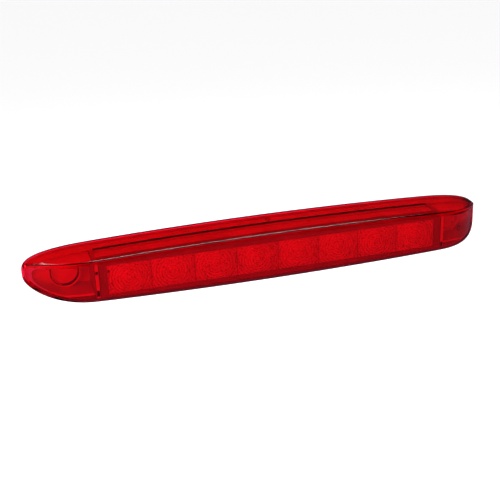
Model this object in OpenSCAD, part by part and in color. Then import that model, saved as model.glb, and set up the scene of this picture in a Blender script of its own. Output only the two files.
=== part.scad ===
// Third brake light: a sealed LED stop lamp that is bolted flat against a vehicle's rear wall.
//
// X runs along the lamp, the lens faces -Y and Z is up. The mounting plane is Y = 0, and the
// origin is the middle of that plane, half way between the two threaded inserts.
// "Depth" below is the distance in front of the mounting plane, so depth d lies at Y = -d.

/* [Lens shape] */
// Length from tip to tip
lamp_length = 350; // [330:5:380]
// Height at the middle, measured at the mounting plane
lamp_height = 39; // [37:0.5:44]
// Depth from the mounting plane to the flat of the front face
lamp_depth = 40; // [39:0.5:44]
// How far each long edge rises from the dividers to the middle
edge_rise = 2.5; // [1:0.25:3]
// How much lower the top wall is at the front than at the mounting plane
wall_draft = 2.75; // [2:0.25:3]
// Length of each rounded end
end_round = 53; // [45:1:60]
// Squareness of the rounded ends, where 2 is an ellipse
end_power = 3.15; // [2.5:0.05:4]
// Depth left at each tip
tip_depth = 6; // [5.5:0.5:9]
// How late the front face curves back towards the tips
taper_power = 2.35; // [2:0.05:3]
// Chamfer along the front edges
edge_chamfer = 2.6; // [1.5:0.1:2.8]
// Wall thickness of the lens
lens_wall = 2.2; // [1.8:0.1:2.4]

/* [Light unit] */
// Number of light cells
cells = 8; // [6:1:8]
// Length of one light cell
cell_pitch = 30.3; // [28:0.1:30.5]
// Height of the ringed optic
optic_height = 21; // [18:0.5:22]
// Rings in each cell of the optic
optic_rings = 9; // [6:1:10]
// Thickness of each divider
divider_wall = 3; // [2:0.5:3.5]

/* [Mounting] */
// Distance between the two threaded inserts
insert_spacing = 292; // [288:1:296]
// Radius of the insert's bore, the core of an M5 thread
insert_bore_r = 2.1; // [2:0.05:2.2]
// Length of each insert, from the mounting plane
insert_length = 8; // [6.5:0.5:8]
// Thickness of the gasket
gasket_thickness = 2; // [1.5:0.5:2.5]

/* [Power inlet] */
// Outer width of the inlet's shroud
inlet_width = 17; // [16:0.5:20]
// Outer height of the inlet's shroud
inlet_height = 11; // [10:0.5:12]

/* [Hidden] */

// The lens's outline
half_length = lamp_length / 2;
half_height = lamp_height / 2;
round_start = half_length - end_round;
end_steps = 14;
middle_steps = 10;
rim_depth = 1;
// Where the inner wall's corners lie beside a chamfer of 45 degrees
inner_chamfer = edge_chamfer + lens_wall * tan(22.5);
tip_gap = inner_chamfer + 0.3;

// The light unit
divider_x = cells * cell_pitch / 2 + 6.6;
unit_half_length = divider_x - divider_wall / 2 - 0.2;
unit_wall = 1.4;
front_gap = 0.6;
optic_front = lamp_depth - lens_wall - front_gap;
ring_height = 0.7;
optic_base = 1.8;
optic_back = optic_front - ring_height - optic_base;
optic_margin = 1;
frame_lip = 0.8;
frame_skirt = 8.5;
frame_skirt_wall = 0.9;
box_front = optic_back;
box_rebate = box_front - frame_skirt;

// The housing's layers, front to back
floor_back = gasket_thickness;
floor_thickness = 2.5;
floor_front = floor_back + floor_thickness;
board_thickness = 1.6;
board_back = 13.4;
board_front = board_back + board_thickness;
rim_inset = lens_wall + 1;
wall_inset = lens_wall + 1.6;
housing_wall = 1.8;
end_wall_inset = lens_wall + 3.2;
end_wall = 1.6;
end_wall_depth = 30;
end_wall_start = divider_x + divider_wall / 2 + 0.4;
board_inset = lens_wall + 1.3;
box_inset = lens_wall + wall_draft + 0.8;
flange_inset = board_inset + 0.8;
flange_thickness = 1.2;

// The mounting bosses
boss_r = 10.2;
boss_depth = 13;
boss_recess_r = 8.8;
boss_recess = 3.2;
insert_r = 3.6;
collar_r = 5;
collar_seat = 0.8;

// The board's fixings and parts
post_r = 2.9;
screw_r = 1.25;
screw_head_r = 2.3;
screw_head = 1.7;
screw_grip = 7;
screw_x = divider_x - 5.7;
screw_z = 0;
middle_screw_x = cell_pitch;
middle_screw_z = 9.6;
led_size = 5;
led_thickness = 1.5;
led_window_r = 1.9;
led_window = 0.4;
cup_back_r = 4;
cup_front_r = 10.1;
cup_wall = 0.8;

// The power inlet
inlet_wall = 1.5;
inlet_flange = 2;
inlet_flange_thickness = 2;
inlet_clearance = 0.25;
seal_width = 1.6;
seal_thickness = 1.5;
pin_size = 1.5;
pin_spacing = 5.5;
pin_tip = 6;

// The vent
vent_x = 62;
vent_hole_r = 1.5;
vent_disc_r = 4;
vent_disc = 0.4;

// Colours
lens_red = [0.74, 0.05, 0.1, 0.7];
housing_white = [0.9, 0.9, 0.88];
frame_grey = [0.5, 0.5, 0.5];
clear_plastic = [0.9, 0.92, 0.94, 0.6];
board_black = [0.05, 0.06, 0.06];
rubber_black = [0.08, 0.08, 0.08];
bead_pale = [0.86, 0.85, 0.83];
brass_yellow = [0.78, 0.62, 0.3];
steel_grey = [0.68, 0.69, 0.7];
tin_grey = [0.8, 0.8, 0.78];

// ---- Outline and profile functions ----

// Each station is [share of the half length, rounding factor of the height].
// The middle is evenly spaced, and the ends follow a superellipse.
function end_station(angle) = [
    (round_start + end_round * pow(sin(angle), 2 / end_power)) / half_length,
    pow(cos(angle), 2 / end_power)
];
right_end = [for (i = [0 : end_steps]) end_station(90 * i / end_steps)];
left_end = [for (i = [end_steps : -1 : 0]) [-right_end[i][0], right_end[i][1]]];
middle = [for (i = [1 : middle_steps - 1])
    [(2 * i / middle_steps - 1) * round_start / half_length, 1]];
stations = concat(left_end, middle, right_end);
station_count = len(stations);

// Half the height of the lens at x, before the ends are rounded
function arch_half_height(x) = half_height - edge_rise * pow(x / divider_x, 2);

// Depth of the front face at x
function face_depth(x) =
    let (t = max(0, (abs(x) - divider_x) / (half_length - divider_x)))
    lamp_depth - (lamp_depth - tip_depth) * pow(min(1, t), taper_power);

// One edge of the outline, moved inwards by inset. sign is 1 for the top and -1 for the bottom.
function edge_point(station, inset, sign) =
    let (x = station[0] * half_length)
    [
        station[0] * (half_length - inset),
        sign * station[1] * arch_half_height(x) * (half_height - inset) / half_height
    ];

// The closed outline: along the top from left to right, and back along the bottom
function outline(inset) = concat(
    [for (i = [0 : station_count - 1]) edge_point(stations[i], inset, 1)],
    [for (i = [station_count - 2 : -1 : 1]) edge_point(stations[i], inset, -1)]
);

// The top view of the space inside the lens, kept clear of the front face by gap
function plan_profile(inset, gap) = concat(
    [for (s = stations) [s[0] * (half_length - inset), -(face_depth(s[0] * half_length) - gap)]],
    [[half_length - inset, 1], [inset - half_length, 1]]
);

// One loop of the lens's skin. share is how far along the draft it lies, and back is its
// distance behind the front face, or behind nothing at the rim.
function skin_loop(inset, share, back) = [
    for (i = [0 : 2 * station_count - 3])
    let (
        s = i < station_count ? stations[i] : stations[2 * station_count - 2 - i],
        p = edge_point(s, inset, i < station_count ? 1 : -1),
        depth = share == 0 ? rim_depth : face_depth(s[0] * half_length) - back
    )
    [p[0], -depth, p[1] * (1 - share * wall_draft / half_height)]
];

// ---- Helpers ----

// A flat shape in X and Z, as a layer between two depths
module layer(back, front) {
    translate([0, -back, 0])
        rotate([90, 0, 0])
            linear_extrude(front - back)
                children();
}

// A rod along Y between two depths
module rod(x, z, radius, back, front) {
    translate([x, -back, z])
        rotate([90, 0, 0])
            cylinder(r = radius, h = front - back, $fn = 48);
}

// A block centred at x and z, between two depths
module block(x, z, width, height, back, front) {
    translate([x - width / 2, -front, z - height / 2])
        cube([width, front - back, height]);
}

// The outline's shape, filled
module filled_outline(inset) {
    polygon(outline(inset));
}

// A band along the outline
module outline_band(outer_inset, inner_inset) {
    difference() {
        filled_outline(outer_inset);
        filled_outline(inner_inset);
    }
}

// The part of the outline between the dividers
module middle_outline(inset, half_width) {
    intersection() {
        filled_outline(inset);
        square([2 * half_width, lamp_height], center = true);
    }
}

// Everything that is behind the lens's inner front face
module inside_plan(inset, gap) {
    linear_extrude(2 * lamp_height, center = true)
        polygon(plan_profile(inset, gap));
}

// Repeats its children at every light cell
module each_cell() {
    for (i = [0 : cells - 1])
        translate([(i - (cells - 1) / 2) * cell_pitch, 0, 0])
            children();
}

// Repeats its children at every board screw
module each_board_screw() {
    for (side = [-1, 1]) {
        translate([side * screw_x, 0, screw_z])
            children();
        translate([side * middle_screw_x, 0, side * middle_screw_z])
            children();
    }
}

// A closed surface through loops of equal length, with the first and last loops capped by
// strips between their top and bottom edges
module skin(loops) {
    n = len(loops[0]);
    last = (len(loops) - 1) * n;
    points = [for (loop = loops) for (p = loop) p];
    sides = [for (r = [0 : len(loops) - 2]) for (i = [0 : n - 1])
        let (a = r * n + i, b = r * n + (i + 1) % n, c = b + n, d = a + n)
        each [[a, b, c], [a, c, d]]];
    strips = [for (k = [0 : n / 2 - 1])
        let (a = k, b = k + 1, c = n - k - 1, d = (n - k) % n)
        each concat(b == c ? [] : [[a, b, c]], a == d ? [] : [[a, c, d]])];
    first_cap = [for (f = strips) [f[2], f[1], f[0]]];
    last_cap = [for (f = strips) [f[0] + last, f[1] + last, f[2] + last]];
    polyhedron(points = points, faces = concat(first_cap, sides, last_cap), convexity = 6);
}

// ---- Casing ----

// The red cover: a deep shell, open at the back, whose ends taper to thin tips
module outer_lens() {
    inner_loops = [
        skin_loop(inner_chamfer, 1, lens_wall),
        skin_loop(lens_wall, 0.93, inner_chamfer),
        skin_loop(lens_wall, 0, 0)
    ];
    outer_loops = [
        skin_loop(0, 0, 0),
        skin_loop(0, 0.93, edge_chamfer),
        skin_loop(edge_chamfer, 1, 0)
    ];
    color(lens_red)
        skin(concat(inner_loops, outer_loops));
}

// The bead that bonds the lens's rim to the housing's floor
module lens_seal() {
    bead_front = floor_front - 0.5;
    color(bead_pale)
        intersection() {
            layer(floor_back, bead_front)
                outline_band(lens_wall + 0.45, rim_inset);
            inside_plan(lens_wall + 0.45, tip_gap);
        }
}

// The white tub behind the lens, shallow behind the board and deep round each end, with the
// mounting bosses and the board's posts
module rear_housing() {
    color(housing_white)
        difference() {
            union() {
                intersection() {
                    union() {
                        layer(floor_back, floor_front)
                            filled_outline(rim_inset);
                        layer(floor_front, board_back)
                            outline_band(wall_inset, wall_inset + housing_wall);
                        difference() {
                            layer(floor_front, end_wall_depth)
                                outline_band(end_wall_inset, end_wall_inset + end_wall);
                            block(0, 0, 2 * end_wall_start, lamp_height, floor_front, lamp_depth);
                        }
                    }
                    inside_plan(rim_inset, tip_gap);
                }
                for (side = [-1, 1])
                    rod(side * insert_spacing / 2, 0, boss_r, floor_front, boss_depth);
                each_board_screw()
                    rod(0, 0, post_r, floor_front, board_back);
            }
            for (side = [-1, 1]) {
                rod(side * insert_spacing / 2, 0, boss_recess_r, boss_depth - boss_recess, boss_depth);
                rod(side * insert_spacing / 2, 0, insert_r, floor_back, insert_length + 0.5);
                rod(side * insert_spacing / 2, 0, collar_r, floor_back, floor_back + collar_seat);
            }
            each_board_screw()
                rod(0, 0, screw_r, board_back - screw_grip, board_back);
            block(0, 0, inlet_width + 2 * inlet_clearance, inlet_height + 2 * inlet_clearance,
                floor_back, floor_front);
            rod(vent_x, 0, vent_hole_r, floor_back, floor_front);
            rod(vent_x, 0, vent_disc_r + 0.2, floor_back, floor_back + 1);
        }
}

// The foam ring that seals the lamp against the vehicle
module mounting_gasket() {
    gasket_outer = lens_wall + 2;
    gasket_width = 4.5;
    color(rubber_black)
        layer(0, gasket_thickness)
            outline_band(gasket_outer, gasket_outer + gasket_width);
}

// The two brass inserts that take the mounting screws. Their collars reach the mounting plane,
// so that tightening the screws can't crush the gasket.
module threaded_inserts() {
    color(brass_yellow)
        for (side = [-1, 1])
            difference() {
                union() {
                    rod(side * insert_spacing / 2, 0, insert_r, 0, insert_length);
                    rod(side * insert_spacing / 2, 0, collar_r, 0, floor_back + collar_seat);
                }
                rod(side * insert_spacing / 2, 0, insert_bore_r, 0, insert_length);
            }
}

// The upright wall between the light unit and one end, stepped in where it stands in the tub
module divider(side) {
    scale_in = arch_half_height(divider_x) / half_height;
    tub_half_height = scale_in * (half_height - wall_inset - housing_wall) - 0.5;
    back_half_height = scale_in * (half_height - lens_wall) - 1.4;
    front_half_height = back_half_height - wall_draft + 0.8;
    step = board_back + 0.3;
    front = lamp_depth - lens_wall - 0.3;
    color(housing_white)
        translate([side * divider_x - divider_wall / 2, 0, 0])
            rotate([90, 0, 90])
                linear_extrude(divider_wall)
                    polygon([
                        [-floor_front, -tub_half_height], [-step, -tub_half_height],
                        [-step, -back_half_height], [-front, -front_half_height],
                        [-front, front_half_height], [-step, back_half_height],
                        [-step, tub_half_height], [-floor_front, tub_half_height]
                    ]);
}

module left_divider() { divider(-1); }

module right_divider() { divider(1); }

// ---- Light unit ----

// The grey rim that holds the ringed optic, with a skirt that fits over the reflector box
module optic_frame() {
    opening_length = cells * cell_pitch;
    pocket_length = opening_length + 2 * optic_margin + 0.3;
    pocket_height = optic_height + 2 * optic_margin + 0.3;
    color(frame_grey)
        difference() {
            layer(box_rebate, optic_front)
                middle_outline(box_inset, unit_half_length);
            layer(box_rebate, box_front)
                middle_outline(box_inset + frame_skirt_wall, unit_half_length - frame_skirt_wall);
            block(0, 0, opening_length, optic_height, optic_back, optic_front);
            block(0, 0, pocket_length, pocket_height, optic_back, optic_front - frame_lip);
        }
}

// One ring of the optic: a ridge with a steep inner side and a sloping outer side
module optic_ring(index) {
    ring_pitch = norm([cell_pitch, optic_height]) / 2 / optic_rings;
    inner_r = index * ring_pitch;
    rotate([90, 0, 0])
        rotate_extrude($fn = 96)
            polygon([
                [inner_r, -0.2], [inner_r, ring_height],
                [inner_r + ring_pitch, 0], [inner_r + ring_pitch, -0.2]
            ]);
}

// The clear optic: a strip with rings around the middle of every cell
module fresnel_optic() {
    plate_front = optic_back + optic_base;
    color(clear_plastic)
        union() {
            block(0, 0, cells * cell_pitch + 2 * optic_margin, optic_height + 2 * optic_margin,
                optic_back, optic_front - frame_lip - 0.1);
            each_cell()
                intersection() {
                    translate([0, -plate_front, 0])
                        union() {
                            for (i = [0 : optic_rings - 1])
                                optic_ring(i);
                        }
                    block(0, 0, cell_pitch - 0.3, optic_height - 0.3, plate_front - 0.2, optic_front);
                }
        }
}

// The wall of the box between two distances inside its outline
module box_outline(outer, inner) {
    difference() {
        middle_outline(box_inset + outer, unit_half_length - outer);
        middle_outline(box_inset + inner, unit_half_length - inner);
    }
}

// The white box around the light cells: an outer wall with a flange that seats on the board, and
// a front plate with a conical cup for each light source
module reflector_box() {
    plate_thickness = 1.2;
    cup_back = board_front + led_thickness + 0.4;
    color(housing_white)
        difference() {
            union() {
                layer(board_front, box_rebate)
                    box_outline(0, frame_skirt_wall + unit_wall);
                layer(box_rebate, box_front)
                    box_outline(frame_skirt_wall, frame_skirt_wall + unit_wall);
                layer(box_front - plate_thickness, box_front)
                    middle_outline(box_inset + frame_skirt_wall, unit_half_length - frame_skirt_wall);
                layer(board_front, board_front + flange_thickness)
                    difference() {
                        middle_outline(flange_inset, unit_half_length);
                        middle_outline(box_inset + unit_wall, unit_half_length - unit_wall);
                    }
                each_cell()
                    translate([0, -cup_back, 0])
                        rotate([90, 0, 0])
                            cylinder(r1 = cup_back_r + cup_wall, r2 = cup_front_r + cup_wall,
                                h = box_front - cup_back, $fn = 64);
            }
            each_cell()
                translate([0, -cup_back, 0])
                    rotate([90, 0, 0])
                        cylinder(r1 = cup_back_r, r2 = cup_front_r,
                            h = box_front - cup_back, $fn = 64);
        }
}

// ---- Circuit ----

// The black board, whose long edges follow the arch of the lens
module circuit_board() {
    color(board_black)
        difference() {
            layer(board_back, board_front)
                middle_outline(board_inset, unit_half_length);
            each_board_screw()
                rod(0, 0, screw_r + 0.2, board_back, board_front);
            for (side = [-1, 1])
                block(side * pin_spacing / 2, 0, pin_size, pin_size, board_back, board_front);
        }
}

// Pan-head screws through the board into the housing's posts
module board_screws() {
    color(steel_grey)
        each_board_screw() {
            rod(0, 0, screw_r, board_back - screw_grip + 0.5, board_front);
            rod(0, 0, screw_head_r, board_front, board_front + screw_head);
        }
}

// The light sources' white packages
module led_packages() {
    color(housing_white)
        each_cell()
            difference() {
                block(0, 0, led_size, led_size, board_front, board_front + led_thickness);
                rod(0, 0, led_window_r, board_front + led_thickness - led_window,
                    board_front + led_thickness);
            }
}

// The clear windows in the packages
module led_windows() {
    color(clear_plastic)
        each_cell()
            rod(0, 0, led_window_r, board_front + led_thickness - led_window,
                board_front + led_thickness);
}

// Chip resistors behind every second light source
module led_resistors() {
    resistor_z = 8;
    color(board_black)
        each_cell()
            block(0, resistor_z, 3.2, 1.6, board_back - 0.6, board_back);
}

// The current regulator's moulded body
module current_regulator() {
    color(board_black)
        block(-42, 1, 6.6, 6.1, board_back - 2.3, board_back);
}

// The regulator's metal tab, soldered to the board beside its body
module regulator_tab() {
    color(steel_grey)
        block(-42, 5.6, 5.3, 3.1, board_back - 0.5, board_back);
}

// The diode that guards against reversed polarity
module polarity_diode() {
    color(board_black)
        block(22, -6, 4.4, 2.6, board_back - 2.1, board_back);
}

// The diode that clips voltage surges
module surge_diode() {
    color(board_black)
        block(22, 2, 5.4, 3.6, board_back - 2.3, board_back);
}

// The filter capacitor's can
module filter_capacitor() {
    color(steel_grey)
        rod(-24, -2, 3, board_back - 6.5, board_back - 1);
}

// The capacitor's square base
module capacitor_sleeve() {
    color(board_black)
        block(-24, -2, 6.6, 6.6, board_back - 1, board_back);
}

// ---- Power inlet ----

// The shroud around the contact pins, open to the back, with a flange in front of the floor
module inlet_shroud() {
    mouth = floor_back - 0.5;
    flange_back = floor_front + seal_thickness;
    color(rubber_black)
        difference() {
            union() {
                block(0, 0, inlet_width, inlet_height, mouth, board_back);
                block(0, 0, inlet_width + 2 * inlet_flange, inlet_height + 2 * inlet_flange,
                    flange_back, flange_back + inlet_flange_thickness);
            }
            block(0, 0, inlet_width - 2 * inlet_wall, inlet_height - 2 * inlet_wall,
                mouth, board_back - inlet_wall);
            for (side = [-1, 1])
                block(side * pin_spacing / 2, 0, pin_size, pin_size, board_back - inlet_wall, board_back);
        }
}

// The two contact pins, soldered through the board
module inlet_pins() {
    color(tin_grey)
        for (side = [-1, 1])
            block(side * pin_spacing / 2, 0, pin_size, pin_size, pin_tip, board_front + 0.8);
}

// The rubber ring between the shroud's flange and the housing's floor
module inlet_seal() {
    color(rubber_black)
        difference() {
            block(0, 0, inlet_width + 2 * seal_width, inlet_height + 2 * seal_width,
                floor_front, floor_front + seal_thickness);
            block(0, 0, inlet_width, inlet_height, floor_front, floor_front + seal_thickness);
        }
}

// The breathable disc over the vent hole, set into the back of the floor
module vent_membrane() {
    color(tin_grey)
        rod(vent_x, 0, vent_disc_r, floor_back + 1 - vent_disc, floor_back + 1);
}

outer_lens();
lens_seal();
rear_housing();
mounting_gasket();
threaded_inserts();
left_divider();
right_divider();
optic_frame();
fresnel_optic();
reflector_box();
circuit_board();
board_screws();
led_packages();
led_windows();
led_resistors();
current_regulator();
regulator_tab();
polarity_diode();
surge_diode();
filter_capacitor();
capacitor_sleeve();
inlet_shroud();
inlet_pins();
inlet_seal();
vent_membrane();
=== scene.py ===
"""Third brake light: the looks of a sealed LED stop lamp with a red cover.

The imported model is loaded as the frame. Each operator below makes or finishes one piece or one
group of like pieces, and the last one sets up the stage. Lengths are in metres. X runs along
the lamp, the cover faces -Y, Z is up, and the mounting plane is Y = 0.
"""

import math

import bmesh
import bpy
import numpy as np
from mathutils import Matrix, Vector


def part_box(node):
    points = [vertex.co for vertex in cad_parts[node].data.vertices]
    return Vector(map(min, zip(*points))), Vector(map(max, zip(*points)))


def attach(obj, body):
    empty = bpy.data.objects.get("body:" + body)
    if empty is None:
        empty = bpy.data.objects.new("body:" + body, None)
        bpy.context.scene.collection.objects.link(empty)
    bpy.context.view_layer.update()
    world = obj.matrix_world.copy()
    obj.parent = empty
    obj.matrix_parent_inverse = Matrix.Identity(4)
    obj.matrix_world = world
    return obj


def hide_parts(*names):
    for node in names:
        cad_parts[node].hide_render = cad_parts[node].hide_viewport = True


bl_info = {
    "name": "Third Brake Light",
    "version": (1, 0, 0),
    "blender": (4, 5, 0),
    "location": "View3D > Sidebar > Brake Light",
    "description": "Builds the cover, optic and finishes of a third brake light",
    "category": "Add Mesh",
}

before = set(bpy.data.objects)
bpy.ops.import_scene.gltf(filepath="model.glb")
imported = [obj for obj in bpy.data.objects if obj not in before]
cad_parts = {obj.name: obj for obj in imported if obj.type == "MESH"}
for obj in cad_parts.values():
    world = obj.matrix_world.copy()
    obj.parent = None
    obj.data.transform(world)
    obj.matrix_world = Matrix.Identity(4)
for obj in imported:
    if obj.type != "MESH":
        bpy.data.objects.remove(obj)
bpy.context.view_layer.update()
BODY = "root"
MM = 0.001
LENS_LOW, LENS_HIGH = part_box("outer_lens")
OPTIC_LOW, OPTIC_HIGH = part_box("fresnel_optic")
DIVIDER_LOW, DIVIDER_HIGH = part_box("right_divider")

# Cover's section: points in each rounded corner, and places along the side wall as shares of
# the way from the corner back to the rim
ARC_STEPS = 9
WALL_SHARES = (1.0, 0.97, 0.8, 0.55, 0.3, 0.1, 0.03)
# Rows across the cover's face, and the extra rows beside its edges as shares of the height
FACE_ROWS = 21
FACE_EDGE_SHARES = (0.985, 0.96)
# The inner skin's corners have this share of the outer radius
INNER_EDGE_SHARE = 0.7

# Optic: how far the dome in the middle of a cell falls, and by which power each ring falls
DOME_FALL = 0.9
RING_POWER = 1.5
# Place and width of a ring's dark foot, as shares of the ring
FOOT_PLACE = 0.88
FOOT_WIDTH = 0.13
# Width of the grooves between the cells
GROOVE_WIDTH = 0.45 * MM

# Dividers: rows up the plate and across its front edge, points in each rounded front corner,
# and the flank's extra row as a share of the depth
DIVIDER_ROWS = 97
DIVIDER_FRONT_ROWS = 11
DIVIDER_ARC_STEPS = 5
FLANK_ROW_SHARE = 0.6
# Depth over which the divider's step turns
STEP_RUN = 0.01 * MM
# Height of the locating pip and of its hole, heights of the catch slots, and the sunk depth
PIP_HEIGHT = 6.2 * MM
LEFT_CATCH_HEIGHT = -8.6 * MM
RIGHT_CATCH_HEIGHT = -10.2 * MM
SUNK_DEPTH = 0.9 * MM
# Painted shade on the front corners and on the flanks, and the painted share of the corner radius
CORNER_SHADE = 0.8
FLANK_SHADE = 0.35
CORNER_SHARE = 0.8

# Finishes: acrylic's refraction, and the span of the slow waves that tones and gloss follow
ACRYLIC_IOR = 1.49
DULL_SPAN = (0.3, 0.7)
# Painted shade on the inner wall of the recess in the housing's left boss: centre, radius and half
# width
BOSS_PAINTED_SHADE = (
    ((-146.4 * MM, -11.4 * MM, 0.45 * MM), 9.42 * MM, 0.3 * MM),
)
# Gate and ejector marks of the cover: centre, radius and half width
COVER_MARKS = (
    ((1.0 * MM, -12 * MM, 18.7 * MM), 1.6 * MM, 0.6 * MM),
    ((143 * MM, -37.5 * MM, 0.5 * MM), 2.0 * MM, 0.3 * MM),
    ((135.3 * MM, -38.5 * MM, 6.6 * MM), 0.0, 0.8 * MM),
    ((-45.7 * MM, -38.5 * MM, 14.3 * MM), 0.0, 0.8 * MM),
)

# Studio: how far the floor reaches, and the card's distance below the lamp and two corners
FLOOR_REACH = 6.0
CARD_DROP = 30 * MM
CARD_NEAR, CARD_FAR = (-0.3, -0.06), (0.3, 0.09)
# Points that the lamps are turned towards
MIDDLE, LEFT_END = (0, -0.02, 0), (-0.15, -0.02, 0)
# Lamps: name, place, aim, width and height, power in watts, and whether gloss shows it
LAMPS = (
    ("front", (-0.12, -1.2, 0.3), MIDDLE, (1.2, 0.8), 8, False),
    ("left front", (-0.7, -0.8, 0.2), LEFT_END, (0.4, 0.4), 4.5, False),
    ("strip", (0.12, 0.26, 0.62), MIDDLE, (0.56, 0.42), 4.2, True),
    ("left top", (-0.379, 0.484, 0.434), LEFT_END, (0.26, 0.26), 1.7, True),
)
# Tones that reflections see below and above the horizon: place on the ramp, and colour
GLOSS_TONES = ((0.35, (0.085, 0.06, 0.09, 1)), (0.55, (0.015, 0.012, 0.018, 1)))
# Light bounces, enough to pass every wall of the cover and the optic
BOUNCES = 16
# Camera: film width in millimetres, and the nearest distance that it sees
FILM_WIDTH = 36
CLIP_START = 0.01


# ---- Settings ----


class CoverSettings(bpy.types.PropertyGroup):
    """Sizes and colour of the red cover."""

    wall: bpy.props.FloatProperty(
        name="Wall", description="Thickness of the cover", default=2.2 * MM, unit="LENGTH"
    )
    rise: bpy.props.FloatProperty(
        name="Rise",
        description="How far each long edge rises from the dividers to the middle",
        default=2.5 * MM,
        unit="LENGTH",
    )
    draft: bpy.props.FloatProperty(
        name="Draft",
        description="How much lower the top wall is at the front",
        default=2.75 * MM,
        unit="LENGTH",
    )
    end_round: bpy.props.FloatProperty(
        name="End", description="Length of each rounded end", default=53 * MM, unit="LENGTH"
    )
    end_power: bpy.props.FloatProperty(
        name="Squareness", description="Squareness of the rounded ends", default=3.15
    )
    tip_depth: bpy.props.FloatProperty(
        name="Tip", description="Depth left at each tip", default=6 * MM, unit="LENGTH"
    )
    taper_power: bpy.props.FloatProperty(
        name="Taper", description="How late the face curves back to the tips", default=2.35
    )
    chamfer: bpy.props.FloatProperty(
        name="Chamfer", description="Chamfer along the front", default=2.6 * MM, unit="LENGTH"
    )
    tip_chamfer: bpy.props.FloatProperty(
        name="Tip Chamfer", description="Chamfer at the tips", default=3.7 * MM, unit="LENGTH"
    )
    edge: bpy.props.FloatProperty(
        name="Edge", description="Radius beside the chamfer", default=1.3 * MM, unit="LENGTH"
    )
    colour: bpy.props.FloatVectorProperty(
        name="Colour",
        description="Tint of the red plastic's surface",
        default=(0.79, 0.03, 0.085, 1.0),
        size=4,
        subtype="COLOR",
    )
    depth_colour: bpy.props.FloatVectorProperty(
        name="Depth Colour",
        description="Tint that grows with the plastic's thickness",
        default=(0.90, 0.083, 0.42, 1.0),
        size=4,
        subtype="COLOR",
    )
    density: bpy.props.FloatProperty(
        name="Density", description="Strength of the depth colour, per metre", default=600.0
    )


class OpticSettings(bpy.types.PropertyGroup):
    """Sizes of the ringed optic."""

    cells: bpy.props.IntProperty(name="Cells", description="Number of light cells", default=8)
    pitch: bpy.props.FloatProperty(
        name="Pitch", description="Length of one cell", default=30.3 * MM, unit="LENGTH"
    )
    height: bpy.props.FloatProperty(
        name="Height", description="Height of the ringed zone", default=21 * MM, unit="LENGTH"
    )
    rings: bpy.props.IntProperty(name="Rings", description="Rings in each cell", default=9)
    relief: bpy.props.FloatProperty(
        name="Relief", description="Height of the rings", default=0.7 * MM, unit="LENGTH"
    )
    step: bpy.props.FloatProperty(
        name="Step", description="Spacing of the surface's points", default=0.3 * MM, unit="LENGTH"
    )
    # Painted shade: how much the rings' feet and the grooves between the cells are darkened
    ring_shade: bpy.props.FloatProperty(
        name="Ring Shade", description="How dark the rings' feet are", default=0.3
    )
    seam_shade: bpy.props.FloatProperty(
        name="Seam Shade", description="How dark the grooves between the cells are", default=0.5
    )
    pip_x: bpy.props.FloatProperty(
        name="Pip X", description="Place of the locating pip", default=-119.8 * MM, unit="LENGTH"
    )
    pip_z: bpy.props.FloatProperty(
        name="Pip Z", description="Height of the locating pip", default=PIP_HEIGHT, unit="LENGTH"
    )
    pip_radius: bpy.props.FloatProperty(
        name="Pip", description="Radius of the locating pip", default=0.9 * MM, unit="LENGTH"
    )


class DividerSettings(bpy.types.PropertyGroup):
    """Sizes of the upright dividers."""

    step: bpy.props.FloatProperty(
        name="Step", description="Depth of the divider's step", default=13.5 * MM, unit="LENGTH"
    )
    foot_half: bpy.props.FloatProperty(
        name="Foot", description="Half height behind the step", default=11.2 * MM, unit="LENGTH"
    )
    back_half: bpy.props.FloatProperty(
        name="Back", description="Half height at the step", default=13.6 * MM, unit="LENGTH"
    )
    front_half: bpy.props.FloatProperty(
        name="Front", description="Half height at the front", default=11.7 * MM, unit="LENGTH"
    )
    edge: bpy.props.FloatProperty(
        name="Edge", description="Radius of the front corners", default=0.45 * MM, unit="LENGTH"
    )
    pip: bpy.props.FloatProperty(
        name="Pip", description="Radius of the locating hole", default=1.05 * MM, unit="LENGTH"
    )
    catch: bpy.props.FloatProperty(
        name="Catch", description="Length of the catch slot", default=4.2 * MM, unit="LENGTH"
    )


class StageSettings(bpy.types.PropertyGroup):
    """Camera and floor."""

    azimuth: bpy.props.FloatProperty(
        name="Azimuth",
        description="Turn of the camera towards the left tip",
        default=math.radians(16.48),
        subtype="ANGLE",
    )
    elevation: bpy.props.FloatProperty(
        name="Elevation",
        description="Height of the camera as an angle",
        default=math.radians(20.57),
        subtype="ANGLE",
    )
    roll: bpy.props.FloatProperty(
        name="Roll", description="Tilt of the camera", default=math.radians(2.24), subtype="ANGLE"
    )
    distance: bpy.props.FloatProperty(
        name="Distance", description="Camera to lamp", default=0.651, unit="LENGTH"
    )
    aim: bpy.props.FloatVectorProperty(
        name="Aim",
        description="Point that the camera looks at",
        default=(-0.0156, -0.020, 0.0001),
        size=3,
        subtype="TRANSLATION",
    )
    focal: bpy.props.FloatProperty(
        name="Focal length", description="Focal length in millimetres", default=65.3
    )
    floor_drop: bpy.props.FloatProperty(
        name="Floor",
        description="Distance of the floor below the lamp",
        default=0.16,
        unit="LENGTH",
    )


# ---- Surfaces ----


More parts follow.
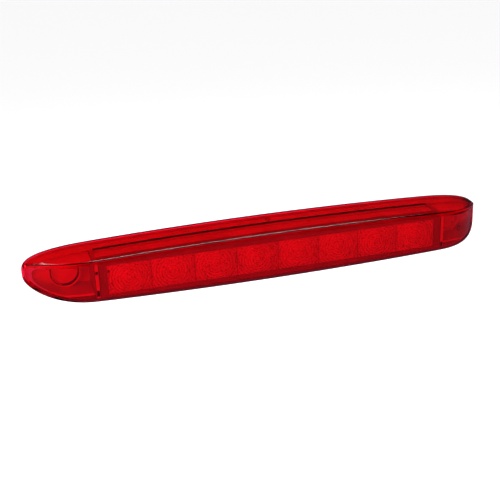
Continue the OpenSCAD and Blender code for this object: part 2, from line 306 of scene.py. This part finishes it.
def piece_from_faces(name, points, faces, material, replaced, smooth=True, shade=None):
    """Makes a finished piece from points and faces, merges points that coincide at poles and
    seams, points the faces outwards, gives it its body and slot, and hides the CAD node that it
    replaces. Shade is a share for each point, kept as the attribute that the materials darken by."""
    mesh = bpy.data.meshes.new(name)
    mesh.from_pydata(points.tolist(), [], faces)
    if shade is not None:
        mesh.attributes.new("shade", "FLOAT", "POINT").data.foreach_set("value", shade)
    made = bmesh.new()
    made.from_mesh(mesh)
    bmesh.ops.remove_doubles(made, verts=made.verts, dist=1e-7)
    bmesh.ops.dissolve_degenerate(made, dist=1e-8, edges=made.edges)
    bmesh.ops.recalc_face_normals(made, faces=made.faces)
    if made.calc_volume(signed=True) < 0:
        bmesh.ops.reverse_faces(made, faces=made.faces)
    made.to_mesh(mesh)
    made.free()
    if smooth:
        mesh.shade_smooth()
    else:
        mesh.shade_flat()
    mesh.materials.append(material)
    piece = bpy.data.objects.new(name, mesh)
    bpy.context.scene.collection.objects.link(piece)
    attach(piece, BODY)
    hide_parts(replaced)


def grid_faces(rows, columns, first=0):
    """Four-sided faces of a grid of rows by columns points, counted from first."""
    index = first + np.arange(rows * columns).reshape(rows, columns)
    corners = np.stack([index[:-1, :-1], index[1:, :-1], index[1:, 1:], index[:-1, 1:]], -1)
    return corners.reshape(-1, 4)


def rounded_corner(before, corner, after, radius):
    """Points of the arc that rounds a corner: the circle of that radius that touches the two
    straight sides, from its first touching point to its second."""
    before, corner, after = (np.asarray(p, float) for p in (before, corner, after))
    one = (before - corner) / np.linalg.norm(before - corner)
    two = (after - corner) / np.linalg.norm(after - corner)
    half = math.acos(float(np.clip(one @ two, -1, 1))) / 2
    middle = (one + two) / np.linalg.norm(one + two)
    centre = corner + middle * radius / math.sin(half)
    start = corner + one * radius / math.tan(half) - centre
    end = corner + two * radius / math.tan(half) - centre
    turn = np.linspace(0, 1, ARC_STEPS)[:, None]
    arc = start * (1 - turn) + end * turn
    return centre + radius * arc / np.linalg.norm(arc, axis=1, keepdims=True)


def cover_stations(cover, middle=60, end=44):
    """Stations along the lamp, as shares of the half length and rounding factors of the
    height. The ends follow a superellipse: share sin(a)^(2/p) and height cos(a)^(2/p)."""
    half = LENS_HIGH.x
    start = half - cover.end_round
    angle = np.linspace(0, np.pi / 2, end)
    reach = (start + cover.end_round * np.sin(angle) ** (2 / cover.end_power)) / half
    factor = np.clip(np.cos(angle), 0, 1) ** (2 / cover.end_power)
    factor[-1] = 0
    inner = np.linspace(-start / half, start / half, middle)[1:-1]
    share = np.concatenate([-reach[::-1], inner, reach])
    height = np.concatenate([factor[::-1], np.ones(len(inner)), factor])
    return share, height


def face_depth(cover, x):
    """Depth of the front face: full between the dividers, and beyond them less by a power of
    the distance, down to the tip's depth."""
    divider = (DIVIDER_LOW.x + DIVIDER_HIGH.x) / 2
    full = -LENS_LOW.y
    past = np.clip((np.abs(x) - divider) / (LENS_HIGH.x - divider), 0, 1)
    return full - (full - cover.tip_depth) * past**cover.taper_power


def arch_half_height(cover, x):
    """Half the height at the mounting plane, falling with the square of the distance from the
    middle."""
    divider = (DIVIDER_LOW.x + DIVIDER_HIGH.x) / 2
    return LENS_HIGH.z - cover.rise * (x / divider) ** 2


def cover_section(cover, inset, chamfer):
    """Rows of the section from the top rim round the front to the bottom rim: how far each lies
    inside the outline, how far behind the face, how much of the way back to the rim it lies,
    and its share of the height. The corners beside the chamfer are rounded."""
    corner = chamfer + inset * math.tan(math.radians(22.5))
    radius = cover.edge if inset == 0 else cover.edge * INNER_EDGE_SHARE
    far = 4 * corner
    upper = rounded_corner((inset, far), (inset, corner), (corner, inset), radius)
    lower = rounded_corner((inset, corner), (corner, inset), (far, inset), radius)
    flat = np.ones(len(WALL_SHARES))
    wall = np.column_stack([inset * flat, upper[0][1] * flat, WALL_SHARES, flat])
    bends = np.concatenate([upper, lower])
    bends = np.column_stack([bends, np.zeros(len(bends)), np.ones(len(bends))])
    side = np.concatenate([wall, bends])
    across = np.linspace(1, -1, FACE_ROWS)[1:-1]
    edges = np.array(FACE_EDGE_SHARES)
    across = np.concatenate([edges, across, -edges[::-1]])
    face = np.column_stack(
        [np.full(len(across), lower[-1][0]), np.full(len(across), inset), across * 0, across]
    )
    other = side[::-1] * (1, 1, 1, -1)
    return np.concatenate([side, face, other])


def cover_surface(cover, inset):
    """One skin of the cover as a grid of stations by section rows. A point's X is the station's
    share of the half length less the inset, its depth is the face's less the row's distance
    behind it, and its height is the arch times the rounding factor, less the draft. The chamfer
    widens evenly from the start of the rounded end to the tip."""
    share, factor = cover_stations(cover)
    x_outer = share * LENS_HIGH.x
    depth_face = face_depth(cover, x_outer)[:, None]
    rim = -LENS_HIGH.y
    start = LENS_HIGH.x - cover.end_round
    towards_tip = np.clip((np.abs(x_outer) - start) / cover.end_round, 0, 1)[:, None, None]
    middle = cover_section(cover, inset, cover.chamfer)
    tip = cover_section(cover, inset, cover.tip_chamfer)
    rows = middle + (tip - middle) * towards_tip
    away, back, stretch, level = np.moveaxis(rows, -1, 0)
    behind = back + stretch * (depth_face - rim - back)
    depth = depth_face - behind
    lean = 1 - cover.draft / LENS_HIGH.z * depth / depth_face
    height = arch_half_height(cover, x_outer)[:, None] * factor[:, None]
    x = share[:, None] * (LENS_HIGH.x - away)
    z = height * (1 - away / LENS_HIGH.z) * lean * level
    return np.stack([x + 0 * z, -depth, z], -1)


def cover_points_and_faces(cover):
    """The closed cover: the outer skin, the inner skin, and a strip that joins them all round
    the rim."""
    outer = cover_surface(cover, 0.0)
    inner = cover_surface(cover, cover.wall)
    stations, rows = outer.shape[:2]
    size = stations * rows
    points = np.concatenate([outer.reshape(-1, 3), inner.reshape(-1, 3)])
    out_index = np.arange(size).reshape(stations, rows)
    in_index = out_index + size
    strips = []
    for column in (0, -1):
        a, b = out_index[:, column], in_index[:, column]
        strips.append(np.stack([a[:-1], a[1:], b[1:], b[:-1]], -1))
    faces = np.concatenate(
        [grid_faces(stations, rows), grid_faces(stations, rows, size), *strips]
    )
    return points, faces.tolist()


def ring_relief(optic, x, z):
    """Height of the ringed relief, and its shade. In each cell the middle dome falls with the
    square of the distance from the cell's middle, every ring round it falls from full to nothing
    by a power of the share of the ring, and a groove runs between the cells. The shade is bell
    shaped about the foot of each ring and about the grooves, and full on the locating pip."""
    half_row = optic.cells * optic.pitch / 2
    local = np.mod(x + half_row, optic.pitch) - optic.pitch / 2
    ring = math.hypot(optic.pitch, optic.height) / 2 / optic.rings
    around = np.hypot(local, z) / ring
    phase = np.mod(around, 1.0)
    height = np.where(around < 1, 1 - DOME_FALL * around**2, 1 - phase**RING_POWER)
    # Painted shade: darkest at the foot of each ring and in the grooves between the cells
    foot = np.exp(-(((phase - FOOT_PLACE) / FOOT_WIDTH) ** 2))
    seam = np.abs(np.abs(local) - optic.pitch / 2)
    groove = np.exp(-((seam / GROOVE_WIDTH) ** 2))
    inside = (np.abs(x) < half_row) & (np.abs(z) < optic.height / 2)
    height = np.where(inside, height * (1 - groove), 0.0)
    shade = np.where(inside, np.maximum(foot * optic.ring_shade, groove * optic.seam_shade), 0.0)
    pip = np.hypot(x - optic.pip_x, z - optic.pip_z) < optic.pip_radius
    return height * optic.relief, np.where(pip, 1.0, shade)


def optic_points_and_faces(optic):
    """The closed strip: a front grid raised by the relief, straight sides and a flat back. The
    shade is a share for each point."""
    low, high = OPTIC_LOW, OPTIC_HIGH
    columns = int(round((high.x - low.x) / optic.step)) + 1
    rows = int(round((high.z - low.z) / optic.step)) + 1
    x, z = np.meshgrid(
        np.linspace(low.x, high.x, columns), np.linspace(low.z, high.z, rows), indexing="ij"
    )
    base = low.y + optic.relief
    height, shade = ring_relief(optic, x, z)
    front = np.stack([x, base - height, z], -1)
    index = np.arange(columns * rows).reshape(columns, rows)
    border = np.concatenate([index[:-1, 0], index[-1, :-1], index[:0:-1, -1], index[0, :0:-1]])
    points = front.reshape(-1, 3)
    back = points[border].copy()
    back[:, 1] = high.y
    below = len(points) + np.arange(len(border))
    walls = np.stack([border, np.roll(border, -1), np.roll(below, -1), below], -1)
    faces = grid_faces(columns, rows).tolist() + walls.tolist() + [below.tolist()]
    shade = np.concatenate([shade.ravel(), np.zeros(len(back))])
    return np.concatenate([points, back]), faces, shade


def divider_points_and_faces(divider, low, high, side):
    """The closed plate: a profile that runs up one side, round the front and down the other,
    carried along the height. The half height falls evenly with the depth in front of the step.
    A catch slot, and on the left a round locating hole, are sunk into the front edge. The shade
    is painted shade: full in them, less on the front corners, and least behind the front edge."""
    middle, half = (low.x + high.x) / 2, (high.x - low.x) / 2
    front, back, r = -low.y, -high.y, divider.edge
    turn = np.linspace(0, np.pi / 2, DIVIDER_ARC_STEPS)
    flank = [back, divider.step, divider.step + STEP_RUN, FLANK_ROW_SHARE * front, front - r]
    depth = np.concatenate([flank, front - r + r * np.sin(turn)[1:]])
    across = np.concatenate([np.full(len(flank), -half), -half + r - r * np.cos(turn)[1:]])
    flat = np.linspace(-half + r, half - r, DIVIDER_FRONT_ROWS)[1:-1]
    depth = np.concatenate([depth, np.full(len(flat), front), depth[::-1]])
    across = np.concatenate([across, flat, -across[::-1]])
    tall = np.interp(
        depth,
        [back, divider.step, divider.step + STEP_RUN, front],
        [divider.foot_half, divider.foot_half, divider.back_half, divider.front_half],
    )
    level = np.linspace(-1, 1, DIVIDER_ROWS)
    x = across[:, None] + 0 * level
    z = tall[:, None] * level
    hole = np.hypot(x, z - PIP_HEIGHT) < divider.pip
    catch_height = LEFT_CATCH_HEIGHT if side < 0 else RIGHT_CATCH_HEIGHT
    slot = (np.abs(z - catch_height) < divider.catch / 2) & (np.abs(x) < half - r)
    sunk = ((hole & (side < 0)) | slot) & (depth[:, None] > front - r / 2)
    y = -(depth[:, None] - np.where(sunk, SUNK_DEPTH, 0.0))
    grid = np.stack([middle + x, y, z], -1)
    columns, rows = grid.shape[:2]
    index = np.arange(columns * rows).reshape(columns, rows)
    pairs = []
    for ring in (index[:, 0], index[:, -1]):
        a, b = ring[: columns // 2], ring[::-1][: columns // 2]
        pairs.append(np.stack([a[:-1], a[1:], b[1:], b[:-1]], -1))
        pairs.append(np.array([[a[-1], ring[columns // 2], b[-1]]]))
    base = np.stack([index[0, :-1], index[0, 1:], index[-1, 1:], index[-1, :-1]], -1)
    faces = [face for part in (grid_faces(columns, rows), *pairs, base) for face in part.tolist()]
    # Painted shade on the front corners, on the flanks, and in the sunk slot and hole
    corner = (np.abs(x) > half - CORNER_SHARE * r) & (depth[:, None] > front - r)
    flank_shade = FLANK_SHADE * (depth[:, None] < front - r / 2)
    shade = np.where(sunk, 1.0, np.where(corner, CORNER_SHADE, flank_shade))
    return grid.reshape(-1, 3), faces, shade.ravel()


# ---- Shader groups and materials ----


def new_group(name, inputs, outputs):
    """An empty shader node group with float inputs and outputs of the given kinds."""
    group = bpy.data.node_groups.new(name, "ShaderNodeTree")
    for label, value in inputs:
        socket = group.interface.new_socket(label, in_out="INPUT", socket_type="NodeSocketFloat")
        socket.default_value = value
    for label in outputs:
        group.interface.new_socket(label, in_out="OUTPUT", socket_type="NodeSocketFloat")
    return group, group.nodes.new("NodeGroupInput"), group.nodes.new("NodeGroupOutput")


def moulded_grain_group():
    """Fine moulded grain over slow waves: a height for bump nodes, a mask of dull patches, and
    the grain on its own."""
    group, source, sink = new_group(
        "moulded_grain", [("Grain Scale", 900.0), ("Wave Scale", 60.0)], ["Height", "Dull", "Fine"]
    )
    place = group.nodes.new("ShaderNodeTexCoord")
    grain = group.nodes.new("ShaderNodeTexNoise")
    grain.inputs["Detail"].default_value = 3
    wave = group.nodes.new("ShaderNodeTexNoise")
    wave.inputs["Detail"].default_value = 1
    add = group.nodes.new("ShaderNodeMath")
    add.operation = "ADD"
    group.links.new(place.outputs["Object"], grain.inputs["Vector"])
    group.links.new(place.outputs["Object"], wave.inputs["Vector"])
    group.links.new(source.outputs["Grain Scale"], grain.inputs["Scale"])
    group.links.new(source.outputs["Wave Scale"], wave.inputs["Scale"])
    group.links.new(grain.outputs["Fac"], add.inputs[0])
    group.links.new(wave.outputs["Fac"], add.inputs[1])
    group.links.new(add.outputs[0], sink.inputs["Height"])
    group.links.new(wave.outputs["Fac"], sink.inputs["Dull"])
    group.links.new(grain.outputs["Fac"], sink.inputs["Fine"])
    return group


def shared_group(name, maker):
    """The named group, made once."""
    return bpy.data.node_groups.get(name) or maker()


def start_material(name):
    """A material with an output and a Principled shader, and those two nodes."""
    material = bpy.data.materials.new(name)
    material.use_nodes = True
    nodes = material.node_tree.nodes
    nodes.clear()
    sink = nodes.new("ShaderNodeOutputMaterial")
    shader = nodes.new("ShaderNodeBsdfPrincipled")
    material.node_tree.links.new(shader.outputs[0], sink.inputs["Surface"])
    return material, shader, sink


def add_grain(material, shader, grain, wave, strength, distance, rough):
    """Drives the shader's normal by the moulded grain, and its roughness between two values by
    the grain's dull patches."""
    nodes, links = material.node_tree.nodes, material.node_tree.links
    group = nodes.new("ShaderNodeGroup")
    group.node_tree = shared_group("moulded_grain", moulded_grain_group)
    group.inputs["Grain Scale"].default_value = grain
    group.inputs["Wave Scale"].default_value = wave
    bump = nodes.new("ShaderNodeBump")
    bump.inputs["Strength"].default_value = strength
    bump.inputs["Distance"].default_value = distance
    links.new(group.outputs["Height"], bump.inputs["Height"])
    links.new(bump.outputs[0], shader.inputs["Normal"])
    spread = nodes.new("ShaderNodeMapRange")
    spread.inputs["From Min"].default_value = DULL_SPAN[0]
    spread.inputs["From Max"].default_value = DULL_SPAN[1]
    spread.inputs["To Min"].default_value = rough[0]
    spread.inputs["To Max"].default_value = rough[1]
    links.new(group.outputs["Dull"], spread.inputs["Value"])
    links.new(spread.outputs[0], shader.inputs["Roughness"])
    return group


def vary_colour(material, shader, group, dark, light, by="Dull", span=DULL_SPAN):
    """Mixes the base colour between two close tones by the grain's dull patches, or between a
    speck's tone and the plain one by the fine grain."""
    nodes, links = material.node_tree.nodes, material.node_tree.links
    ramp = nodes.new("ShaderNodeValToRGB")
    ramp.color_ramp.elements[0].position = span[0]
    ramp.color_ramp.elements[1].position = span[1]
    ramp.color_ramp.elements[0].color = dark
    ramp.color_ramp.elements[1].color = light
    links.new(group.outputs[by], ramp.inputs["Fac"])
    links.new(ramp.outputs["Color"], shader.inputs["Base Color"])


def darken_base(material, shader, share, dark):
    """Mixes the base colour towards a dark tone by the share that a socket gives."""
    nodes, links = material.node_tree.nodes, material.node_tree.links
    plain = shader.inputs["Base Color"].links[0].from_socket
    mix = nodes.new("ShaderNodeMix")
    mix.data_type = "RGBA"
    mix.inputs["B"].default_value = dark
    links.new(share, mix.inputs["Factor"])
    links.new(plain, mix.inputs["A"])
    links.new(mix.outputs["Result"], shader.inputs["Base Color"])


def darken_by_shade(material, shader, dark):
    """Darkens the base colour by the piece's shade attribute."""
    share = material.node_tree.nodes.new("ShaderNodeAttribute")
    share.attribute_name = "shade"
    darken_base(material, shader, share.outputs["Fac"], dark)


def mark_group():
    """A ring-shaped or round mark where the surface lies near a given distance of a centre, used
    for moulding marks and for painted shade.
    """
    group = bpy.data.node_groups.new("moulding_mark_and_painted_shade", "ShaderNodeTree")
    socket = group.interface.new_socket("Centre", in_out="INPUT", socket_type="NodeSocketVector")
    socket.default_value = (0, 0, 0)
    for label in ("Radius", "Width"):
        group.interface.new_socket(label, in_out="INPUT", socket_type="NodeSocketFloat")
    group.interface.new_socket("Mask", in_out="OUTPUT", socket_type="NodeSocketFloat")
    source = group.nodes.new("NodeGroupInput")
    sink = group.nodes.new("NodeGroupOutput")
    place = group.nodes.new("ShaderNodeTexCoord")
    apart = group.nodes.new("ShaderNodeVectorMath")
    apart.operation = "DISTANCE"
    compare = group.nodes.new("ShaderNodeMath")
    compare.operation = "COMPARE"
    group.links.new(place.outputs["Object"], apart.inputs[0])
    group.links.new(source.outputs["Centre"], apart.inputs[1])
    group.links.new(apart.outputs["Value"], compare.inputs[0])
    group.links.new(source.outputs["Radius"], compare.inputs[1])
    group.links.new(source.outputs["Width"], compare.inputs[2])
    group.links.new(compare.outputs[0], sink.inputs["Mask"])
    return group


def add_marks(material, shader, marks, dark):
    """Darkens the base colour in each mark, given as a centre, a radius and a half width."""
    for centre, radius, width in marks:
        mark = material.node_tree.nodes.new("ShaderNodeGroup")
        mark.node_tree = shared_group("moulding_mark_and_painted_shade", mark_group)
        mark.inputs["Centre"].default_value = centre
        mark.inputs["Radius"].default_value = radius
        mark.inputs["Width"].default_value = width
        darken_base(material, shader, mark.outputs["Mask"], dark)


def let_lamps_through(material, shader, sink, tint):
    """Shadow rays pass the glass with its tint, so that the lamps light what is inside."""
    nodes, links = material.node_tree.nodes, material.node_tree.links
    path = nodes.new("ShaderNodeLightPath")
    clear = nodes.new("ShaderNodeBsdfTransparent")
    clear.inputs["Color"].default_value = tint
    mix = nodes.new("ShaderNodeMixShader")
    links.new(path.outputs["Is Shadow Ray"], mix.inputs["Fac"])
    links.new(shader.outputs[0], mix.inputs[1])
    links.new(clear.outputs[0], mix.inputs[2])
    links.new(mix.outputs[0], sink.inputs["Surface"])


def red_cover_material(cover):
    """Clear red acrylic: polished, faintly wavy, tinted at each surface and in its depth."""
    material, shader, sink = start_material("red_cover")
    colour = cover.colour
    shader.inputs["Base Color"].default_value = colour
    shader.inputs["Transmission Weight"].default_value = 1.0
    shader.inputs["IOR"].default_value = ACRYLIC_IOR
    group = add_grain(
        material, shader, grain=260, wave=55, strength=0.05, distance=0.0003, rough=(0.015, 0.05)
    )
    deep = (colour[0] * 0.97, colour[1] * 0.9, colour[2] * 0.9, 1)
    vary_colour(material, shader, group, deep, tuple(colour))
    add_marks(material, shader, COVER_MARKS, (0.1, 0.003, 0.006, 1))
    tint = tuple(math.sqrt(c) for c in colour[:3]) + (1,)
    let_lamps_through(material, shader, sink, tint)
    nodes, links = material.node_tree.nodes, material.node_tree.links
    depth = nodes.new("ShaderNodeVolumeAbsorption")
    depth.inputs["Color"].default_value = cover.depth_colour
    depth.inputs["Density"].default_value = cover.density
    links.new(depth.outputs[0], sink.inputs["Volume"])
    return material


def clear_optic_material():
    """Clear plastic of the ringed optic."""
    material, shader, sink = start_material("clear_ringed_optic")
    shader.inputs["Transmission Weight"].default_value = 0.3
    shader.inputs["IOR"].default_value = ACRYLIC_IOR
    group = add_grain(
        material, shader, grain=900, wave=250, strength=0.5, distance=0.0004, rough=(0.12, 0.25)
    )
    speck, plain = (0.35, 0.35, 0.35, 1), (0.98, 0.98, 0.97, 1)
    vary_colour(material, shader, group, speck, plain, by="Fine", span=(0.34, 0.46))
    # Painted shade at the rings' feet and in the grooves between the cells; the locating pip is
    # painted dark
    darken_by_shade(material, shader, (0.08, 0.08, 0.08, 1))
    let_lamps_through(material, shader, sink, (0.98, 0.98, 0.98, 1))
    return material


def moulded_material(name, dark, light, rough, grain=1500, metal=0.0):
    """Opaque moulded plastic, rubber or plated metal in two close tones."""
    material, shader, _ = start_material(name)
    shader.inputs["Metallic"].default_value = metal
    group = add_grain(
        material, shader, grain=grain, wave=70, strength=0.25, distance=0.0001, rough=rough
    )
    vary_colour(material, shader, group, dark, light)
    return material


def principled(material):
    """The material's Principled shader."""
    return next(n for n in material.node_tree.nodes if n.type == "BSDF_PRINCIPLED")


def paint(node, material):
    """Gives a CAD node its material."""
    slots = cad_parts[node].data.materials
    slots.clear()
    slots.append(material)


# ---- Operators ----


class LAMP_OT_cover(bpy.types.Operator):
    """Makes the red cover."""

    bl_idname = "lamp.cover"
    bl_label = "Red Cover"

    def execute(self, context):
        cover = context.scene.lamp_cover
        points, faces = cover_points_and_faces(cover)
        material = red_cover_material(cover)
        piece_from_faces("red_cover", points, faces, material, "outer_lens")
        return {"FINISHED"}


class LAMP_OT_optic(bpy.types.Operator):
    """Makes the ringed optic and finishes its frame and the reflector box."""

    bl_idname = "lamp.optic"
    bl_label = "Ringed Optic"

    def execute(self, context):
        optic = context.scene.lamp_optic
        points, faces, shade = optic_points_and_faces(optic)
        material = clear_optic_material()
        piece_from_faces(
            "ringed_optic", points, faces, material, "fresnel_optic", False, shade
        )
        grey = moulded_material(
            "grey_frame", (0.27, 0.27, 0.27, 1), (0.33, 0.33, 0.33, 1), (0.4, 0.5)
        )
        white = moulded_material(
            "white_reflector", (0.82, 0.82, 0.81, 1), (0.88, 0.88, 0.87, 1), (0.25, 0.35)
        )
        paint("optic_frame", grey)
        paint("reflector_box", white)
        return {"FINISHED"}


class LAMP_OT_dividers(bpy.types.Operator):
    """Makes the two upright dividers."""

    bl_idname = "lamp.dividers"
    bl_label = "Dividers"

    def execute(self, context):
        divider = context.scene.lamp_divider
        material = moulded_material(
            "white_divider", (0.74, 0.74, 0.73, 1), (0.82, 0.82, 0.81, 1), (0.3, 0.4)
        )
        # Painted shade: the flanks, the front corners and the sunk slot and hole are darkened
        # towards black
        darken_by_shade(material, principled(material), (0.02, 0.02, 0.02, 1))
        for node, side in (("left_divider", -1), ("right_divider", 1)):
            low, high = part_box(node)
            points, faces, shade = divider_points_and_faces(divider, low, high, side)
            piece_from_faces(
                node + "_plate", points, faces, material, node, False, shade
            )
        return {"FINISHED"}


class LAMP_OT_casing(bpy.types.Operator):
    """Finishes the rear housing, gasket, bonding bead and vent."""

    bl_idname = "lamp.casing"
    bl_label = "Rear Casing"

    def execute(self, context):
        white = moulded_material(
            "white_housing", (0.82, 0.82, 0.81, 1), (0.88, 0.88, 0.87, 1), (0.4, 0.55)
        )
        rubber = moulded_material(
            "black_rubber", (0.02, 0.02, 0.02, 1), (0.03, 0.03, 0.03, 1), (0.75, 0.9), 3000
        )
        # Painted shade on the inner wall of the left boss's recess
        add_marks(white, principled(white), BOSS_PAINTED_SHADE, (0.03, 0.03, 0.03, 1))
        bead = moulded_material(
            "pale_bead", (0.74, 0.73, 0.7, 1), (0.82, 0.81, 0.78, 1), (0.45, 0.6), 800
        )
        for node in ("rear_housing", "vent_membrane"):
            paint(node, white)
        for node in ("mounting_gasket", "inlet_seal"):
            paint(node, rubber)
        paint("lens_seal", bead)
        return {"FINISHED"}


class LAMP_OT_circuit(bpy.types.Operator):
    """Finishes the board, the light sources and the drive circuit."""

    bl_idname = "lamp.circuit"
    bl_label = "Circuit"

    def execute(self, context):
        mask = moulded_material(
            "board_mask", (0.008, 0.009, 0.009, 1), (0.015, 0.017, 0.016, 1), (0.3, 0.4)
        )
        black = moulded_material(
            "black_moulding", (0.02, 0.02, 0.02, 1), (0.035, 0.035, 0.035, 1), (0.5, 0.6)
        )
        white = moulded_material(
            "white_package", (0.82, 0.82, 0.8, 1), (0.88, 0.88, 0.86, 1), (0.3, 0.4)
        )
        resin = moulded_material(
            "light_resin", (0.8, 0.6, 0.35, 1), (0.9, 0.7, 0.45, 1), (0.1, 0.2)
        )
        tin = moulded_material(
            "bright_tin", (0.55, 0.55, 0.53, 1), (0.68, 0.68, 0.66, 1), (0.25, 0.35), 600, 1.0
        )
        steel = moulded_material(
            "plated_steel", (0.45, 0.46, 0.47, 1), (0.6, 0.61, 0.62, 1), (0.25, 0.4), 600, 1.0
        )
        brass = moulded_material(
            "turned_brass", (0.62, 0.42, 0.15, 1), (0.75, 0.55, 0.24, 1), (0.22, 0.35), 600, 1.0
        )
        paint("circuit_board", mask)
        for node in (
            "led_resistors", "current_regulator", "polarity_diode", "surge_diode",
            "capacitor_sleeve", "inlet_shroud",
        ):
            paint(node, black)
        paint("led_packages", white)
        paint("led_windows", resin)
        for node in ("regulator_tab", "inlet_pins"):
            paint(node, tin)
        for node in ("board_screws", "filter_capacitor"):
            paint(node, steel)
        paint("threaded_inserts", brass)
        return {"FINISHED"}


def area_lamp(name, place, aim, size, power, seen_in_gloss):
    """A rectangular white lamp at a place, turned towards its aim."""
    data = bpy.data.lights.new(name, "AREA")
    data.shape = "RECTANGLE"
    data.size, data.size_y = size
    data.energy = power
    lamp = bpy.data.objects.new(name, data)
    lamp.location = place
    away = Vector(aim) - Vector(place)
    lamp.rotation_euler = away.to_track_quat("-Z", "Y").to_euler()
    lamp.visible_glossy = seen_in_gloss
    bpy.context.scene.collection.objects.link(lamp)


def level_sheet(name, material, near, far, level):
    """A level rectangle between two corners, which doesn't show in gloss."""
    (x0, y0), (x1, y1) = near, far
    mesh = bpy.data.meshes.new(name)
    corners = [(x0, y0, level), (x1, y0, level), (x1, y1, level), (x0, y1, level)]
    mesh.from_pydata(corners, [], [(0, 1, 2, 3)])
    mesh.materials.append(material)
    sheet = bpy.data.objects.new(name, mesh)
    sheet.visible_glossy = False
    bpy.context.scene.collection.objects.link(sheet)
    return sheet


class LAMP_OT_stage(bpy.types.Operator):
    """Sets up the camera, the floor, the dark card, the world and the lamps."""

    bl_idname = "lamp.stage"
    bl_label = "Stage"

    def execute(self, context):
        stage = context.scene.lamp_stage
        self.make_camera(context, stage)
        self.make_floor(stage)
        self.make_card()
        self.make_world(context)
        for name, place, aim, size, power, seen_in_gloss in LAMPS:
            area_lamp(name, place, aim, size, power, seen_in_gloss)
        scene = context.scene
        scene.view_settings.view_transform = "Standard"
        scene.view_settings.look = "None"
        scene.cycles.max_bounces = BOUNCES
        scene.cycles.transmission_bounces = BOUNCES
        scene.cycles.transparent_max_bounces = BOUNCES
        return {"FINISHED"}

    def make_camera(self, context, stage):
        """Looks at the aim from the left and above, turned by the roll."""
        a, e, r = stage.azimuth, stage.elevation, stage.roll
        ahead = Vector((math.sin(a) * math.cos(e), math.cos(a) * math.cos(e), -math.sin(e)))
        level = Vector((math.cos(a), -math.sin(a), 0))
        upward = level.cross(ahead)
        right = level * math.cos(r) - upward * math.sin(r)
        up = level * math.sin(r) + upward * math.cos(r)
        data = bpy.data.cameras.new("camera")
        data.lens = stage.focal
        data.sensor_width = FILM_WIDTH
        data.clip_start = CLIP_START
        camera = bpy.data.objects.new("camera", data)
        turn = Matrix((right, up, -ahead)).transposed().to_4x4()
        camera.matrix_world = Matrix.Translation(Vector(stage.aim) - ahead * stage.distance) @ turn
        context.scene.collection.objects.link(camera)
        context.scene.camera = camera

    def make_floor(self, stage):
        """A wide pale floor below the lamp."""
        material, shader, _ = start_material("pale_floor")
        shader.inputs["Base Color"].default_value = (0.97, 0.97, 0.97, 1)
        shader.inputs["Roughness"].default_value = 0.9
        shader.inputs["Specular IOR Level"].default_value = 0.1
        near, far = (-FLOOR_REACH, -FLOOR_REACH), (FLOOR_REACH, FLOOR_REACH)
        floor = level_sheet("floor", material, near, far, LENS_LOW.z - stage.floor_drop)

    def make_card(self):
        """A dark card below the lamp, which the camera, reflections and shadow rays don't see.
        It shows through the cover and darkens its lower edge."""
        material, shader, _ = start_material("dark_card")
        shader.inputs["Base Color"].default_value = (0.26, 0.26, 0.26, 1)
        shader.inputs["Roughness"].default_value = 1.0
        shader.inputs["Specular IOR Level"].default_value = 0.0
        card = level_sheet("card", material, CARD_NEAR, CARD_FAR, LENS_LOW.z - CARD_DROP)
        card.visible_camera = False
        card.visible_shadow = False

    def make_world(self, context):
        """White for the camera, through glass and as light, and nearly black in reflections."""
        world = bpy.data.worlds.new("studio")
        world.use_nodes = True
        nodes, links = world.node_tree.nodes, world.node_tree.links
        nodes.clear()
        sink = nodes.new("ShaderNodeOutputWorld")
        glow = nodes.new("ShaderNodeBackground")
        dark = nodes.new("ShaderNodeBackground")
        glow.inputs["Color"].default_value = (1, 1, 1, 1)
        glow.inputs["Strength"].default_value = 1.0
        place = nodes.new("ShaderNodeTexCoord")
        split = nodes.new("ShaderNodeSeparateXYZ")
        ramp = nodes.new("ShaderNodeValToRGB")
        for element, (position, tone) in zip(ramp.color_ramp.elements, GLOSS_TONES):
            element.position = position
            element.color = tone
        shift = nodes.new("ShaderNodeMapRange")
        shift.inputs["From Min"].default_value = -1
        links.new(place.outputs["Generated"], split.inputs[0])
        links.new(split.outputs["Z"], shift.inputs["Value"])
        links.new(shift.outputs[0], ramp.inputs["Fac"])
        links.new(ramp.outputs["Color"], dark.inputs["Color"])
        path = nodes.new("ShaderNodeLightPath")
        mix = nodes.new("ShaderNodeMixShader")
        links.new(path.outputs["Is Glossy Ray"], mix.inputs["Fac"])
        links.new(glow.outputs[0], mix.inputs[1])
        links.new(dark.outputs[0], mix.inputs[2])
        links.new(mix.outputs[0], sink.inputs["Surface"])
        context.scene.world = world


class LAMP_PT_panel(bpy.types.Panel):
    """Lists the operators in the order in which they run."""

    bl_idname = "LAMP_PT_panel"
    bl_label = "Third Brake Light"
    bl_space_type = "VIEW_3D"
    bl_region_type = "UI"
    bl_category = "Brake Light"

    def draw(self, context):
        for operator in OPERATORS:
            self.layout.operator(operator.bl_idname)


SETTINGS = (
    ("lamp_cover", CoverSettings),
    ("lamp_optic", OpticSettings),
    ("lamp_divider", DividerSettings),
    ("lamp_stage", StageSettings),
)
OPERATORS = (
    LAMP_OT_cover,
    LAMP_OT_optic,
    LAMP_OT_dividers,
    LAMP_OT_casing,
    LAMP_OT_circuit,
    LAMP_OT_stage,
)


def register():
    """Registers the settings, operators and panel."""
    for name, group in SETTINGS:
        bpy.utils.register_class(group)
        setattr(bpy.types.Scene, name, bpy.props.PointerProperty(type=group))
    for made in (*OPERATORS, LAMP_PT_panel):
        bpy.utils.register_class(made)


def unregister():
    """Removes what register() added."""
    for made in (LAMP_PT_panel, *reversed(OPERATORS)):
        bpy.utils.unregister_class(made)
    for name, group in reversed(SETTINGS):
        delattr(bpy.types.Scene, name)
        bpy.utils.unregister_class(group)


def main():
    register()
    bpy.ops.lamp.cover()
    bpy.ops.lamp.optic()
    bpy.ops.lamp.dividers()
    bpy.ops.lamp.casing()
    bpy.ops.lamp.circuit()
    bpy.ops.lamp.stage()


if __name__ == "__main__":
    main()
